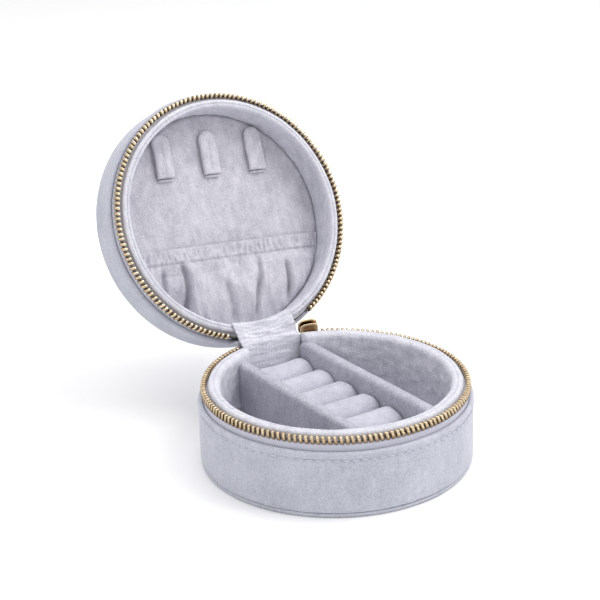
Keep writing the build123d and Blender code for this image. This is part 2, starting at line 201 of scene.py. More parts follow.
# ---------------------------------------------------------------- outer velvet of base and lid
# Short-pile velvet, wrapped round each wall board and folded over its edge beside the zip. The
# base's is topstitched below the fold. Each is seamed to the underside or to the lid's top.
case_radius = 55.0
board_radius = 54.3
tape_radius = 53.2
parting = 33.8
hinge_y = 53.4
open_angle = radians(116.2)
wall_fold = 27.1
wall_seam = 2.0
lid_fold = 41.0
lid_seam = 54.8
stitch_drop = 3.2
stitch_pitch = 3.5


def velvet(name, shade, deep, streak, grain, slot="lining_velvet"):
    """Short pile that is brushed lighter and darker in patches, with a fine grain."""
    finish = Finish(
        name,
        slot,
        Specular_IOR_Level=0.15,
        Sheen_Weight=0.45,
        Sheen_Roughness=0.4,
        Sheen_Tint=(0.93, 0.94, 1.0, 1),
    )
    warp = finish.node("ShaderNodeMapping", {}, {0: finish.place(), 3: (1.0, 1.0, 0.45)})
    patches = finish.noise(16.0, 3.0)
    brushed = finish.noise(3.2, 4.0, warp)
    pile = finish.steps(finish.noise(0.7, 2.0), 0.25, 0.75)
    # Painted light: a level at each point that darkens the colour towards a painted shadow in
    # seams, stitch channels, wrinkle valleys and joints. Below zero it lightens the colour as a
    # painted highlight on lips and folded edges.
    painted_light = finish.node("ShaderNodeAttribute", {"attribute_name": "painted_light"}, {}, 2)
    tone = (patches - 0.5) * 0.9 + (brushed - 0.5) * streak + (pile - 0.5) * (0.6 * grain)
    tone = tone - painted_light * 0.9 + 0.5
    colour = finish.mix(finish.steps(tone, 0.0, 1.0), deep, shade)
    shadow = tuple(0.45 * channel for channel in deep[:3]) + (1,)
    finish.feed("Base Color", finish.mix(painted_light, colour, shadow))
    finish.feed("Roughness", brushed * 0.2 + 0.75)
    relief = finish.bump(brushed, 0.16)
    finish.feed("Normal", finish.bump(pile, 0.12 * grain, relief))
    return finish


outer_velvet = velvet(
    "outer_velvet",
    shade=(0.57, 0.58, 0.65, 1),
    deep=(0.375, 0.385, 0.45, 1),
    streak=0.7,
    grain=1.4,
    slot="outer_velvet",
)


def distances(line):
    """How far along a line each of its points lies."""
    return np.append(0, np.cumsum(np.linalg.norm(np.diff(line, axis=0), axis=1)))


def bell(distance, width):
    """1 at no distance, falling smoothly to about a third at width."""
    return np.exp(-((distance / width) ** 2))


def outline(corners, spacing, closed=True):
    """Evenly spaced points along a line through corners of (across, up, rounding)."""
    points = []
    for number, (across, height, rounding) in enumerate(corners):
        here = np.array([across, height], float)
        if not rounding or (not closed and number in (0, len(corners) - 1)):
            points.append(here)
            continue
        before = np.array(corners[number - 1][:2]) - here
        after = np.array(corners[(number + 1) % len(corners)][:2]) - here
        before /= np.linalg.norm(before)
        after /= np.linalg.norm(after)
        half_turn = np.arccos(np.clip(before @ after, -1, 1)) / 2
        inward = (before + after) / np.linalg.norm(before + after)
        middle = here + inward * rounding / sin(half_turn)
        reach = rounding / np.tan(half_turn)
        first, last = here + before * reach - middle, here + after * reach - middle
        start = np.arctan2(first[1], first[0])
        turn = (np.arctan2(last[1], last[0]) - start + pi) % (2 * pi) - pi
        angles = start + turn * np.linspace(0, 1, 9)
        points.extend(middle + rounding * np.stack([np.cos(angles), np.sin(angles)], 1))
    if closed:
        points.append(points[0])
    points = np.array(points)
    lengths = distances(points)
    count = max(2, int(round(lengths[-1] / spacing)) + 1)
    even = np.linspace(0, lengths[-1], count)
    line = np.stack([np.interp(even, lengths, points[:, axis]) for axis in (0, 1)], 1)
    return line[:-1] if closed else line


def uneven(points, size, seed):
    """A smooth random height, mostly from -1 to 1, whose bumps are about size across."""
    draw = np.random.default_rng(seed)
    turns = draw.normal(size=(16, 3)) * (2.6 / size)
    starts = draw.uniform(0, 2 * pi, 16)
    total = np.zeros(points.shape[:-1])
    for turn, start in zip(turns, starts):
        total += np.cos(points @ turn + start)
    return total / 4


def ring(line, steps, start=None, end=None, flat_gap=None, push=None):
    """Points of an outline of (radius, height) turned about the case's axis.

    Angles run in degrees from the hinge, at +Y, towards +X. With flat_gap the ring stops at that
    distance each side of the hinge. push moves the points out of the surface.
    """
    radius, height = line[:, 0], line[:, 1]
    if flat_gap:
        start = np.degrees(np.arcsin(flat_gap / radius))
        end = 360 - start
    elif start is None:
        start, end = 0.0, 360.0 * (steps - 1) / steps
    angle = start + (end - start) * np.linspace(0, 1, steps)[:, None] + 0 * radius
    turn = np.radians(angle)
    points = np.stack([radius * np.sin(turn), radius * np.cos(turn), height + 0 * turn], -1)
    if push is not None:
        ahead, behind = np.roll(line, -1, 0), np.roll(line, 1, 0)
        slope = ahead - behind
        twice_area = (line[:, 0] * ahead[:, 1] - ahead[:, 0] * line[:, 1]).sum()
        slope *= np.sign(twice_area) / np.maximum(np.linalg.norm(slope, axis=1), 1e-9)[:, None]
        move = push(angle, radius + 0 * turn, height + 0 * turn, points)
        points[..., 0] += slope[:, 1] * np.sin(turn) * move
        points[..., 1] += slope[:, 1] * np.cos(turn) * move
        points[..., 2] -= slope[:, 0] * move
    return points


def open_lid(points):
    """Turns points from where they lie with the lid shut to where they stand with it open."""
    across, height = points[..., 1] - hinge_y, points[..., 2] - parting
    opened = points.copy()
    opened[..., 1] = hinge_y + across * cos(open_angle) + height * sin(open_angle)
    opened[..., 2] = parting - across * sin(open_angle) + height * cos(open_angle)
    return opened


def opened_if_lid(points, place):
    """The lid's points as they stand with it open. The base's stay where they are."""
    return open_lid(points) if place == "lid" else points


def piece(name, points, faces, finish, body, nodes, cloth=None, painted_light=None):
    """One mesh, in millimetres, with its finish, and the body and CAD nodes that it stands for."""
    mesh = bpy.data.meshes.new(name)
    mesh.from_pydata((np.asarray(points) * MM).tolist(), [], faces)
    mesh.update()
    if cloth is not None:
        layer = mesh.uv_layers.new(name="cloth")
        layer.data.foreach_set("uv", np.asarray(cloth, np.float32).ravel())
    # Each point's level of painted light, which its finish turns into painted shade or a painted
    # highlight
    if painted_light is not None:
        depth = mesh.attributes.new("painted_light", "FLOAT", "POINT")
        depth.data.foreach_set("value", np.asarray(painted_light, np.float32).ravel())
    made = bpy.data.objects.new(name, mesh)
    bpy.context.scene.collection.objects.link(made)
    mesh.materials.append(finish.material)
    shape = bmesh.new()
    shape.from_mesh(mesh)
    bmesh.ops.remove_doubles(shape, verts=shape.verts, dist=0.002 * MM)
    bmesh.ops.recalc_face_normals(shape, faces=shape.faces)
    shape.to_mesh(mesh)
    shape.free()
    mesh.polygons.foreach_set("use_smooth", [True] * len(mesh.polygons))
    if body:
        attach(made, body)
    if nodes:
        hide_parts(*nodes)
    return made


def skin(name, points, finish, body, nodes, around=True, closed=True, painted_light=None):
    """A grid of points made into a closed mesh: around joins its rows, and closed its columns."""
    rows, columns = points.shape[:2]
    corner = np.arange(rows * columns).reshape(rows, columns)
    row_starts = np.arange(rows if around else rows - 1)
    column_starts = np.arange(columns if closed else columns - 1)
    row, column = np.meshgrid(row_starts, column_starts, indexing="ij")
    next_row, next_column = (row + 1) % rows, (column + 1) % columns
    quads = [corner[row, column], corner[next_row, column]]
    quads += [corner[next_row, next_column], corner[row, next_column]]
    faces = np.stack(quads, -1).reshape(-1, 4).tolist()
    along, over = distances(points[:, columns // 2]), distances(points[rows // 2])
    along = np.append(along, along[-1] + along[1])
    over = np.append(over, over[-1] + over[1])
    places = [(row, column), (row + 1, column), (row + 1, column + 1), (row, column + 1)]
    cloth = np.stack([np.stack([along[a], over[b]], -1) for a, b in places], 2).reshape(-1, 2)
    if closed and not around:
        for end in (corner[0], corner[-1]):
            faces.append(end.tolist())
            cloth = np.concatenate([cloth, np.zeros((columns, 2))])
    if painted_light is not None:
        painted_light = np.broadcast_to(painted_light, (rows, columns))
    return piece(name, points.reshape(-1, 3), faces, finish, body, nodes, cloth, painted_light)


def many(shapes):
    """Joins small closed grids, each (rows, columns, 3), into points and faces for one piece."""
    points, faces, first = [], [], 0
    for shape in shapes:
        rows, columns = shape.shape[:2]
        corner = first + np.arange(rows * columns).reshape(rows, columns)
        ahead = np.roll(corner, -1, 1)
        quads = np.stack([corner[:-1], ahead[:-1], ahead[1:], corner[1:]], -1)
        faces.extend(quads.reshape(-1, 4).tolist())
        faces.extend([corner[0].tolist(), corner[-1][::-1].tolist()])
        points.append(shape.reshape(-1, 3))
        first += rows * columns
    return np.concatenate(points), faces


def stitches(starts, ends, outward, thickness, bow):
    """Short thread stitches from point to point, bowed outward, their ends sunk in the cloth."""
    shapes = []
    for start, end, out in zip(np.asarray(starts), np.asarray(ends), np.asarray(outward)):
        way = (end - start) / np.linalg.norm(end - start)
        side = np.cross(way, out)
        along = np.linspace(0, 1, 7)[:, None]
        middle = start + (end - start) * along + out * bow * (np.sin(pi * along) * 1.6 - 0.7)
        girth = thickness / 2 * np.sqrt(np.clip(np.sin(pi * (0.06 + 0.88 * along)), 0, 1))
        turn = np.linspace(0, 2 * pi, 6, endpoint=False)
        around = side * np.cos(turn)[:, None] + out * np.sin(turn)[:, None]
        shapes.append(middle[:, None] + girth[:, None] * around[None])
    return many(shapes)


thread = Finish("lavender_thread", "outer_velvet", Specular_IOR_Level=0.3, Sheen_Weight=0.2)
twist = thread.noise(0.4, 2.0)
thread.feed("Base Color", thread.mix(twist, (0.50, 0.51, 0.60, 1), (0.66, 0.67, 0.75, 1)))
thread.feed("Roughness", twist * 0.3 + 0.5)
thread.feed("Normal", thread.bump(twist, 0.05))


def wall_velvet(name, fold, seam, seed, place, stitched):
    """The outer velvet from its folded edge to its seam, puckered along any topstitching."""
    depth = abs(fold - seam) - 0.05
    down = 1 if seam < fold else -1
    corners = [
        (board_radius + 0.05, depth, 0.1),
        (case_radius, depth, 0.12),
        (case_radius, 0.0, 0.8),
        (tape_radius + 0.15, 0.0, 0.4),
        (tape_radius + 0.15, 0.85, 0.1),
        (board_radius + 0.05, 0.85, 0.1),
    ]
    line = outline(corners, spacing=0.42)
    line[:, 1] = fold - down * line[:, 1]

    def pucker(angle, radius, height, points):
        below = np.abs(height - fold)
        outside = np.clip((radius - 54.5) / 0.3, 0, 1)
        pull = np.cos(np.radians(angle) * round(2 * pi * case_radius / stitch_pitch))
        channel = stitched * bell(below - stitch_drop, 0.55) * (0.26 + 0.10 * pull)
        puff = 0.16 * bell(below - stitch_drop / 2, 1.3) * (1 - 0.35 * stitched * pull)
        tuck = 0.03 * bell(below - depth, 0.7)
        soft = 0.09 * uneven(points, 16.0, seed) + 0.035 * uneven(points, 4.5, seed + 1)
        return outside * (puff - channel - tuck + soft) + 0.04 * uneven(points, 6.0, seed + 2)

    points = ring(line, 576, push=pucker)
    from_fold = np.abs(line[:, 1] - fold)
    on_face = line[:, 0] > board_radius + 0.3
    # Painted shade along the topstitched channel, and a painted highlight on the folded edge
    painted_light = 0.25 * stitched * bell(from_fold - stitch_drop, 0.35) * on_face
    painted_light = painted_light - 0.35 * bell(from_fold, 0.7)
    made = skin(
        f"{place}_wall_velvet",
        opened_if_lid(points, place),
        outer_velvet,
        place,
        [name],
        painted_light=painted_light,
    )
    if not stitched:
        return
    height = fold - down * stitch_drop
    count = round(2 * pi * case_radius / stitch_pitch)
    turns = 2 * pi * (np.arange(count) + 0.5) / count
    half_stitch = 0.43 * 2 * pi / count
    edge = case_radius - 0.13

    def at(turn):
        return np.stack([edge * np.sin(turn), edge * np.cos(turn), height + 0 * turn], -1)

    out = np.stack([np.sin(turns), np.cos(turns), 0 * turns], -1)
    from_points, to_points = at(turns - half_stitch), at(turns + half_stitch)
    thread_points, thread_faces = stitches(from_points, to_points, out, thickness=0.55, bow=0.17)
    piece(f"{place}_topstitch", thread_points, thread_faces, thread, place, [])


wall_velvet("base_wall_cover", wall_fold, wall_seam, seed=11, place="base", stitched=True)
wall_velvet("lid_wall_cover", lid_fold, lid_seam, seed=21, place="lid", stitched=False)


# ---------------------------------------------------------------- underside and lid top
# The same velvet closes the underside as a shallow cup over the floor board. A second panel, with
# thin foam under it, caps the lid. Each is seamed to its wall with the edges turned in.
cup = outline(
    [
        (0, 0.0, 0),
        (case_radius, 0.0, 1.3),
        (case_radius, 2.02, 0.12),
        (54.35, 2.02, 0),
        (54.35, 0.7, 0.2),
        (0, 0.7, 0),
    ],
    spacing=0.8,
    closed=False,
)


def cup_push(angle, radius, height, points):
    return np.where(height > 0.3, 0.05 * uneven(points, 9.0, 31), 0.0) * (radius > 54)


underside = skin(
    "base_underside_velvet",
    ring(cup, 288, push=cup_push),
    outer_velvet,
    "base",
    ["base_bottom_cover"],
    closed=False,
)

lid_top = 57.0
cap = outline(
    [
        (0, lid_top + 0.5, 0),
        (50.0, lid_top + 0.15, 12.0),
        (case_radius, lid_top - 0.4, 1.9),
        (case_radius, lid_seam, 0.12),
        (54.35, lid_seam, 0),
        (54.35, lid_top - 1.1, 0.9),
        (0, lid_top - 0.2, 0),
    ],
    spacing=0.8,
    closed=False,
)


def cap_push(angle, radius, height, points):
    shown = np.clip((height - lid_top + 0.6) / 0.5, 0, 1) * (radius < 54.3)
    return -shown * (0.12 * uneven(points, 22.0, 41) + 0.04 * uneven(points, 6.0, 42))


lid_cap = skin(
    "lid_top_velvet",
    open_lid(ring(cap, 288, push=cap_push)),
    outer_velvet,
    "lid",
    ["lid_top_cover"],
    closed=False,
)


# ---------------------------------------------------------------- zip tapes
# Woven herringbone tape, glued inside each wall's edge, with a thicker cord along the edge that
# carries the teeth. It ends beside the hinge.
tape_inside = 52.6
tape_middle = 52.9
tape_start = 16.04
tape_end = 343.96
lid_tape_start = 25.57

weave = Finish(
    "herringbone_tape", "zip_tape", Specular_IOR_Level=0.2, Sheen_Weight=0.25, Roughness=0.8
)
cloth_place = weave.node("ShaderNodeUVMap", {"uv_map": "cloth"}, {})
run = weave.node("ShaderNodeSeparateXYZ", {}, {0: cloth_place}, 0)
cross = weave.node("ShaderNodeSeparateXYZ", {}, {0: cloth_place}, 1)
chevron = weave.node("ShaderNodeMath", {"operation": "PINGPONG"}, {0: cross, 1: 0.8})
slant = (run + chevron) * (2 * pi / 0.95)
rib = weave.node("ShaderNodeMath", {"operation": "SINE"}, {0: slant}) * 0.5 + 0.5
fibre = weave.noise(0.35, 2.0)
tape_tone = weave.steps(rib * 0.7 + fibre * 0.5, 0.1, 1.0)
# Painted shade: the tape darkens to a dark brown along its edge under and between the teeth
cord_shade = weave.node("ShaderNodeAttribute", {"attribute_name": "painted_light"}, {}, 2)
cloth_colour = weave.mix(tape_tone, (0.43, 0.43, 0.51, 1), (0.66, 0.66, 0.75, 1))
weave.feed("Base Color", weave.mix(cord_shade, cloth_colour, (0.10, 0.07, 0.05, 1)))
weave.feed("Normal", weave.bump(rib + fibre * 0.4, 0.10))


def tape_cloth(node, low, high, cord, start, end, place):
    """One tape, its section thickened where the cord runs."""
    line = outline(
        [
            (tape_inside, low, 0.1),
            (tape_radius, low, 0.1),
            (tape_radius, high, 0.25),
            (tape_inside, high, 0.25),
        ],
        spacing=0.3,
    )

    def swell(angle, radius, height, points):
        return 0.22 * bell(height - cord, 0.5) + 0.05 * uneven(points, 12.0, 51)

    points = ring(line, 560, start, end, push=swell)
    # The tape's edge under the teeth gets painted shade
    tip = high if place == "base" else low
    tape = skin(
        f"{place}_zip_tape_cloth",
        opened_if_lid(points, place),
        weave,
        place,
        [node],
        around=False,
        painted_light=0.9 * np.clip(1.6 - np.abs(line[:, 1] - tip), 0, 1),
    )


tape_cloth("base_zip_tape", 16.6, 31.3, cord=29.4, start=tape_start, end=tape_end, place="base")
tape_cloth("lid_zip_tape", 36.3, 51.0, cord=38.2, start=lid_tape_start, end=tape_end, place="lid")


# ---------------------------------------------------------------- zip teeth
# Separate gold-coloured metal teeth, each clamped over the tape's corded edge by two legs, with a
# narrower head that has a small nib. The rows stand half a pitch apart.
tooth_pitch = 2.15
row_start = 26.867
row_end = 342.014
base_tooth_foot = 30.0
lid_tooth_foot = 37.6

gold = Finish("gold_teeth", "zip_brass", Metallic=1.0)
tarnish = gold.noise(2.5, 3.0)
scuff = gold.noise(0.5, 2.0)
# Painted shade, dark brown, on each tooth's lower part and sides, where the teeth shade one another
teeth_painted_shade = gold.node("ShaderNodeAttribute", {"attribute_name": "painted_light"}, {}, 2)
shine = gold.steps(tarnish + scuff * 0.3, 0.3, 0.9)
plated = gold.mix(shine, (0.46, 0.32, 0.18, 1), (0.90, 0.76, 0.54, 1))
gold.feed("Base Color", gold.mix(teeth_painted_shade, plated, (0.13, 0.08, 0.045, 1)))
gold.feed("Roughness", scuff * 0.2 + 0.14)
gold.feed("Normal", gold.bump(scuff, 0.02))


def pebble(centre, size, squareness, rows=7, columns=12):
    """A closed rounded block, from points round it at several heights."""
    lift = np.linspace(-pi / 2 * 0.96, pi / 2 * 0.96, rows)[:, None]
    turn = np.linspace(0, 2 * pi, columns, endpoint=False)[None]

    def squared(value):
        return np.sign(value) * np.abs(value) ** squareness

    block = np.stack(
        [
            squared(np.cos(lift)) * squared(np.cos(turn)),
            squared(np.cos(lift)) * squared(np.sin(turn)),
            squared(np.sin(lift)) + 0 * turn,
        ],
        -1,
    )
    return np.array(centre) + block * np.array(size) / 2


def one_tooth():
    """A tooth standing on its legs: x runs along the tape, y through it and z up to its tip."""
    legs = [pebble((0, side * 0.74, 0.85), (1.45, 0.8, 1.75), 0.45) for side in (-1, 1)]
    waist = pebble((0, 0, 1.65), (1.2, 2.1, 1.6), 0.45)
    head = pebble((0, 0, 2.3), (1.35, 1.85, 1.4), 0.5)
    nib = pebble((0.6, 0, 2.4), (0.8, 0.9, 0.6), 0.7, 5, 8)
    return [*legs, waist, head, nib]


def teeth(node, foot, first, place):
    """A row of teeth, each a little out of true, up from the tape's edge or down from the lid's."""
    up_way = 1 if place == "base" else -1
    draw = np.random.default_rng(61 if place == "base" else 62)
    step = degrees(tooth_pitch / tape_middle)
    shapes, tooth_painted_shade = [], []
    for number in range(int((row_end - first) / step) + 1):
        turn = radians(first + number * step)
        lean, twist_turn = draw.normal(0, 0.03, 2)
        for shape in one_tooth():
            x = shape[..., 0] + (lean + 0.16) * shape[..., 2] - 0.22 * shape[..., 1]
            y = shape[..., 1] + twist_turn * shape[..., 0]
            reach = tape_middle + y
            angle = turn + x / tape_middle
            height = foot + up_way * shape[..., 2]
            shapes.append(np.stack([reach * np.sin(angle), reach * np.cos(angle), height], -1))
            # How much painted shade each point of a tooth gets: most low down and at its sides
            low = np.clip(1.1 - shape[..., 2] / 1.7, 0, 1)
            edge = np.clip((np.abs(shape[..., 0]) - 0.4) / 0.35, 0, 1)
            tooth_painted_shade.append(np.clip(low + 0.75 * edge, 0, 0.92).ravel())
    points, faces = many(shapes)
    piece(
        f"{place}_zip_teeth_row",
        opened_if_lid(points, place),
        faces,
        gold,
        place,
        [node],
        painted_light=np.concatenate(tooth_painted_shade),
    )


half_step = degrees(tooth_pitch / tape_middle) / 2
teeth("base_zip_teeth", base_tooth_foot, row_start, "base")
teeth("lid_zip_teeth", lid_tooth_foot, row_start + half_step, "lid")


# ---------------------------------------------------------------- base lining
# A foam ring in a velvet sleeve lines the base. Its rounded lip stands inside the zip, with a
# seam along its crest, and a flange of the same velvet covers the liner board's edge.
lining_in = 46.0
lining_out = 50.95
hinge_gap = 14.0
floor_top = 4.1

lining_velvet = velvet(
    "lining_velvet", shade=(0.72, 0.715, 0.78, 1), deep=(0.50, 0.50, 0.57, 1), streak=1.3, grain=1.5
)


def lining(node, corners, crest, inner, seam_radius, seed, place, fill, gap):
    """A padded velvet wall with its lip, seam and shallow wrinkles, open for gap at the hinge."""
    line = outline(corners, spacing=0.4)

    def wrinkle(angle, radius, height, points):
        from_crest = np.abs(height - crest)
        lip = bell(from_crest, 2.0) * (radius < lining_out + 0.1)
        seam = 0.34 * bell(radius - seam_radius, 0.26) * (from_crest < 1.5)
        gathers = np.cos(np.radians(angle) * 150 + 1.5 * uneven(points, 8.0, seed))
        wall = (radius < inner + 1.0) * np.clip(from_crest / 4, 0, 1)
        rumple = 0.22 * uneven(points * [1, 1, 1.6], 5.0, seed + 1)
        rumple = rumple + 0.10 * uneven(points, 2.4, seed + 2)
        soft = 0.10 * uneven(points, 13.0, seed + 3)
        held = np.clip((lining_out + 0.05 - radius) / 0.3, 0, 1)
        return held * (soft + 0.05 * lip * gathers + fill * wall * rumple) - seam

    points = ring(line, 520, flat_gap=gap, push=wrinkle)
    # Painted shade along the seam's groove, and a painted highlight over the lip's crest
    near_crest = np.abs(line[:, 1] - crest) < 1.5
    painted_light = 0.55 * bell(line[:, 0] - seam_radius, 0.22) * near_crest
    painted_light = painted_light - 0.15 * bell(line[:, 1] - crest, 2.2)
    made = skin(
        f"{place}_lining_velvet",
        opened_if_lid(points, place),
        lining_velvet,
        place,
        [node],
        around=not gap,
        painted_light=painted_light,
    )


lining(
    "base_wall_lining",
    [
        (lining_in, 3.4, 0),
        (lining_out - 0.05, 3.4, 0),
        (lining_out - 0.05, 29.45, 0.1),
        (52.4, 29.45, 0.1),
        (52.4, 30.5, 0.15),
        (lining_out, 30.5, 0.3),
        (lining_out, 33.5, 1.5),
        (lining_in, 33.5, 2.4),
    ],
    crest=33.5,
    inner=lining_in,
    seam_radius=48.7,
    seed=71,
    place="base",
    fill=0.9,
    gap=hinge_gap,
)

floor_velvet = velvet(
    "floor_velvet", shade=(0.62, 0.615, 0.68, 1), deep=(0.42, 0.42, 0.485, 1), streak=1.2, grain=1.4
)
floor_edge = lining_in + 0.1
floor_line = outline(
    [(0, 3.4, 0), (floor_edge, 3.4, 0), (floor_edge, 3.9, 0.2), (0, floor_top, 0)],
    spacing=0.8,
    closed=False,
)
floor_pad = skin(
    "base_floor_velvet",
    ring(floor_line, 200),
    floor_velvet,
    "base",
    ["base_floor_lining"],
    closed=False,
)


# ---------------------------------------------------------------- dividers
# Two boards wrapped in velvet stand across the base, glued to the floor and butted against the
# lining. The pile lies flat on their faces. Their velvet is a darker copy of the lining velvet,
# painted with the shade that falls on them in the compartments.
divider_x = 16.8
divider_half = 2.7
divider_back = 47.5
insert_turn = radians(2.6)
divider_top = 30.0

# A darker copy of the lining velvet: painted shade for the dividers
divider_velvet_painted_shade = velvet(
    "divider_velvet_painted_shade",
    shade=(0.52, 0.52, 0.59, 1),
    deep=(0.325, 0.325, 0.39, 1),
    streak=1.1,
    grain=1.7,
)


def swing(points, turn):
    """Turns points about the case's upright axis, anticlockwise from above."""
    turned = points.copy()
    turned[..., 0] = points[..., 0] * cos(turn) - points[..., 1] * sin(turn)
    turned[..., 1] = points[..., 0] * sin(turn) + points[..., 1] * cos(turn)
    return turned


for side, name in ((-1, "left"), (1, "right")):
    line = outline(
        [
            (-divider_half, floor_top, 0),
            (divider_half, floor_top, 0),
            (divider_half, divider_top, 1.9),
            (-divider_half, divider_top, 1.9),
        ],
        spacing=0.45,
    )
    x = side * divider_x + line[:, 0]
    front_end = -np.sqrt((lining_in + 0.15) ** 2 - x**2)
    back_end = np.sqrt(divider_back**2 - x**2)
    share = np.linspace(0, 1, 170)[:, None]
    y = front_end + (back_end - front_end) * share
    points = np.stack([x + 0 * share, y, line[:, 1] + 0 * share], -1)
    swell = 0.10 * uneven(points, 11.0, 81 + side) + 0.04 * uneven(points, 4.0, 83 + side)
    face = np.clip((line[:, 1] - floor_top) / 2, 0, 1)
    points[..., 0] += np.sign(line[:, 0]) * swell * face * (np.abs(line[:, 0]) > 2.2)
    points[..., 2] += 0.8 * swell * (line[:, 1] > divider_top - 0.6)
    cover = skin(
        f"divider_{name}_velvet",
        swing(points, insert_turn),
        divider_velvet_painted_shade,
        "base",
        [f"divider_{name}_cover"],
        around=False,
    )


# ---------------------------------------------------------------- ring rolls
# Six foam rolls in velvet sleeves stand side by side on the tray board between the dividers. Rings
# are pushed down into the creases between them.
roll_count = 6
tray_top = 5.9
roll_top = 24.3
roll_half_width = 14.0
roll_end_round = 2.6
roll_bulge = 8.4
roll_squareness = 0.86
channel_back = 48.24
channel_front = -43.685
roll_pitch = (channel_back - channel_front) / roll_count

roll_velvet = velvet(
    "roll_velvet", shade=(0.62, 0.615, 0.69, 1), deep=(0.40, 0.40, 0.47, 1), streak=0.9, grain=1.0
)
for number in range(roll_count):
    middle = channel_back - (number + 0.5) * roll_pitch
    half_depth = roll_pitch / 2 - 0.04
    draw = np.random.default_rng(90 + number)
    tall = roll_top + draw.uniform(-0.25, 0.15)
    turn = np.linspace(0, pi, 33)
    across = half_depth * np.sign(np.cos(turn)) * np.abs(np.cos(turn)) ** roll_squareness
    height = tall - roll_bulge + roll_bulge * np.sin(turn) ** roll_squareness
    sides = np.linspace(tall - roll_bulge, tray_top, 12)[1:]
    down_side, under = np.full(11, half_depth), np.linspace(-half_depth, half_depth, 14)[1:-1]
    across = np.concatenate([across, -down_side, under, down_side])
    height = np.concatenate([height, sides, np.full(12, tray_top), sides[::-1]])
    share = np.sin(np.linspace(-pi / 2, pi / 2, 61))[:, None]
    x = roll_half_width * share
    to_end = roll_half_width - np.abs(x)
    into_round = np.clip(roll_end_round - to_end, 0, None)
    inset = roll_end_round - np.sqrt(np.clip(roll_end_round**2 - into_round**2, 0, None))
    crown = np.clip((height - tray_top) / (tall - tray_top), 0, 1)
    y = middle + across * (1 - 0.35 * inset / half_depth)
    z = height - inset * crown
    if number == roll_count - 1:
        front = np.clip(-across / half_depth, 0, 1) ** 2
        y = y - front * (np.sqrt(lining_in**2 - x**2) + channel_front) * 0.9
    points = np.stack([x + 0 * across, y, z], -1)
    soft = 0.20 * uneven(points * [0.5, 1, 1], 7.0, 100 + number)
    soft = soft + 0.08 * uneven(points, 3.0, 110 + number)
    points[..., 2] += soft * np.clip(crown * 2 - 1, 0, 1)
    # Painted shade down each roll's sides, between it and its neighbours
    edge = np.clip(1 - (height - (tall - roll_bulge)) / 4.2, 0, 1)
    roll = skin(
        f"ring_roll_{number + 1}_velvet",
        swing(points, insert_turn),
        roll_velvet,
        "base",
        [f"ring_roll_cover_{number + 1}", f"ring_roll_foam_{number + 1}"],
        around=False,
        painted_light=0.5 * edge,
    )


# ---------------------------------------------------------------- lid lining and panel
# The lid has a thinner velvet wall over card, with the same rounded lip. A padded velvet panel is
# pushed in against it, on a foam spacer, and its edge rolls down into the joint.
lid_lining_in = 48.0
panel_face = 49.4

lining(
    "lid_wall_lining",
    [
        (lid_lining_in, 49.9, 0),
        (49.55, 49.9, 0),
        (49.55, 38.15, 0.1),
        (52.4, 38.15, 0.1),
        (52.4, 37.15, 0.12),
        (lining_out - 0.1, 37.15, 0.3),
        (lining_out - 0.1, 34.1, 1.35),
        (lid_lining_in - 0.5, 34.1, 1.45),
        (lid_lining_in - 0.5, 38.0, 3.0),
        (lid_lining_in, 41.0, 3.0),
    ],
    crest=34.1,
    inner=lid_lining_in - 0.5,
    seam_radius=49.1,
    seed=121,
    place="lid",
    fill=0.5,
    gap=None,
)
panel_velvet = velvet(
    "panel_velvet", shade=(0.65, 0.635, 0.69, 1), deep=(0.41, 0.40, 0.455, 1), streak=1.4, grain=1.2
)
panel_line = outline(
    [
        (0, 50.2, 0),
        (49.4, 50.2, 0.2),
        (49.4, 49.95, 0.1),
        (lid_lining_in - 0.05, 49.95, 0.2),
        (lid_lining_in - 1.6, panel_face, 1.5),
        (30, panel_face - 0.15, 30),
        (0, panel_face - 0.25, 0),
    ],
    spacing=0.6,
    closed=False,
)


def panel_push(angle, radius, height, points):
    shown = (height < 49.7) * np.clip((47.5 - radius) / 2, 0, 1)
    return -shown * (0.10 * uneven(points, 15.0, 131) + 0.05 * uneven(points, 5.0, 132))


# The panel's edge gets painted shade where it rolls down into the joint
panel = skin(
    "lid_panel_velvet",
    open_lid(ring(panel_line, 300, push=panel_push)),
    panel_velvet,
    "lid",
    ["lid_panel_cover"],
    closed=False,
    painted_light=0.5 * np.clip((panel_line[:, 0] - 46.8) / 1.2, 0, 1),
)


# ---------------------------------------------------------------- gathered lid pocket
# A half-round pocket of lining velvet, cut wider than the panel. Elastic in a stitched casing
# gathers its mouth, and its round edge is pleated into the joint between panel and wall.
pocket_radius = 47.8
pocket_mouth = 10.0
pocket_casing = 6.5
pocket_thickness = 0.7
elastic_thickness = 0.3
elastic_behind = 0.75
hem_thickness = 0.5
hem_behind = 1.1
elastic_width = 5.4
mouth_rise = 2.6
pocket_rise = 5.0
lid_insert_turn = radians(4.5)
pocket_half = sqrt(pocket_radius**2 - pocket_mouth**2)

# Each deep fold: x, lean, where it starts and ends, half width and depth
deep_folds = [
    (-23.4, -0.03, 15.5, 41.0, 1.1, 2.5),
    (13.0, -0.20, 17.5, 46.0, 1.2, 1.8),
    (27.0, -0.15, 19.0, 39.0, 1.0, 2.0),
    (-3.0, 0.0, 25.0, 47.0, 1.5, 1.2),
    (-33.0, 0.15, 16.5, 32.0, 1.0, 1.3),
    (3.5, -0.05, 16.0, 27.0, 1.0, 0.8),
]


def set_in_lid(points):
    """Points of the shut lid's panel, turned with it a little and then opened."""
    return open_lid(swing(points, lid_insert_turn))


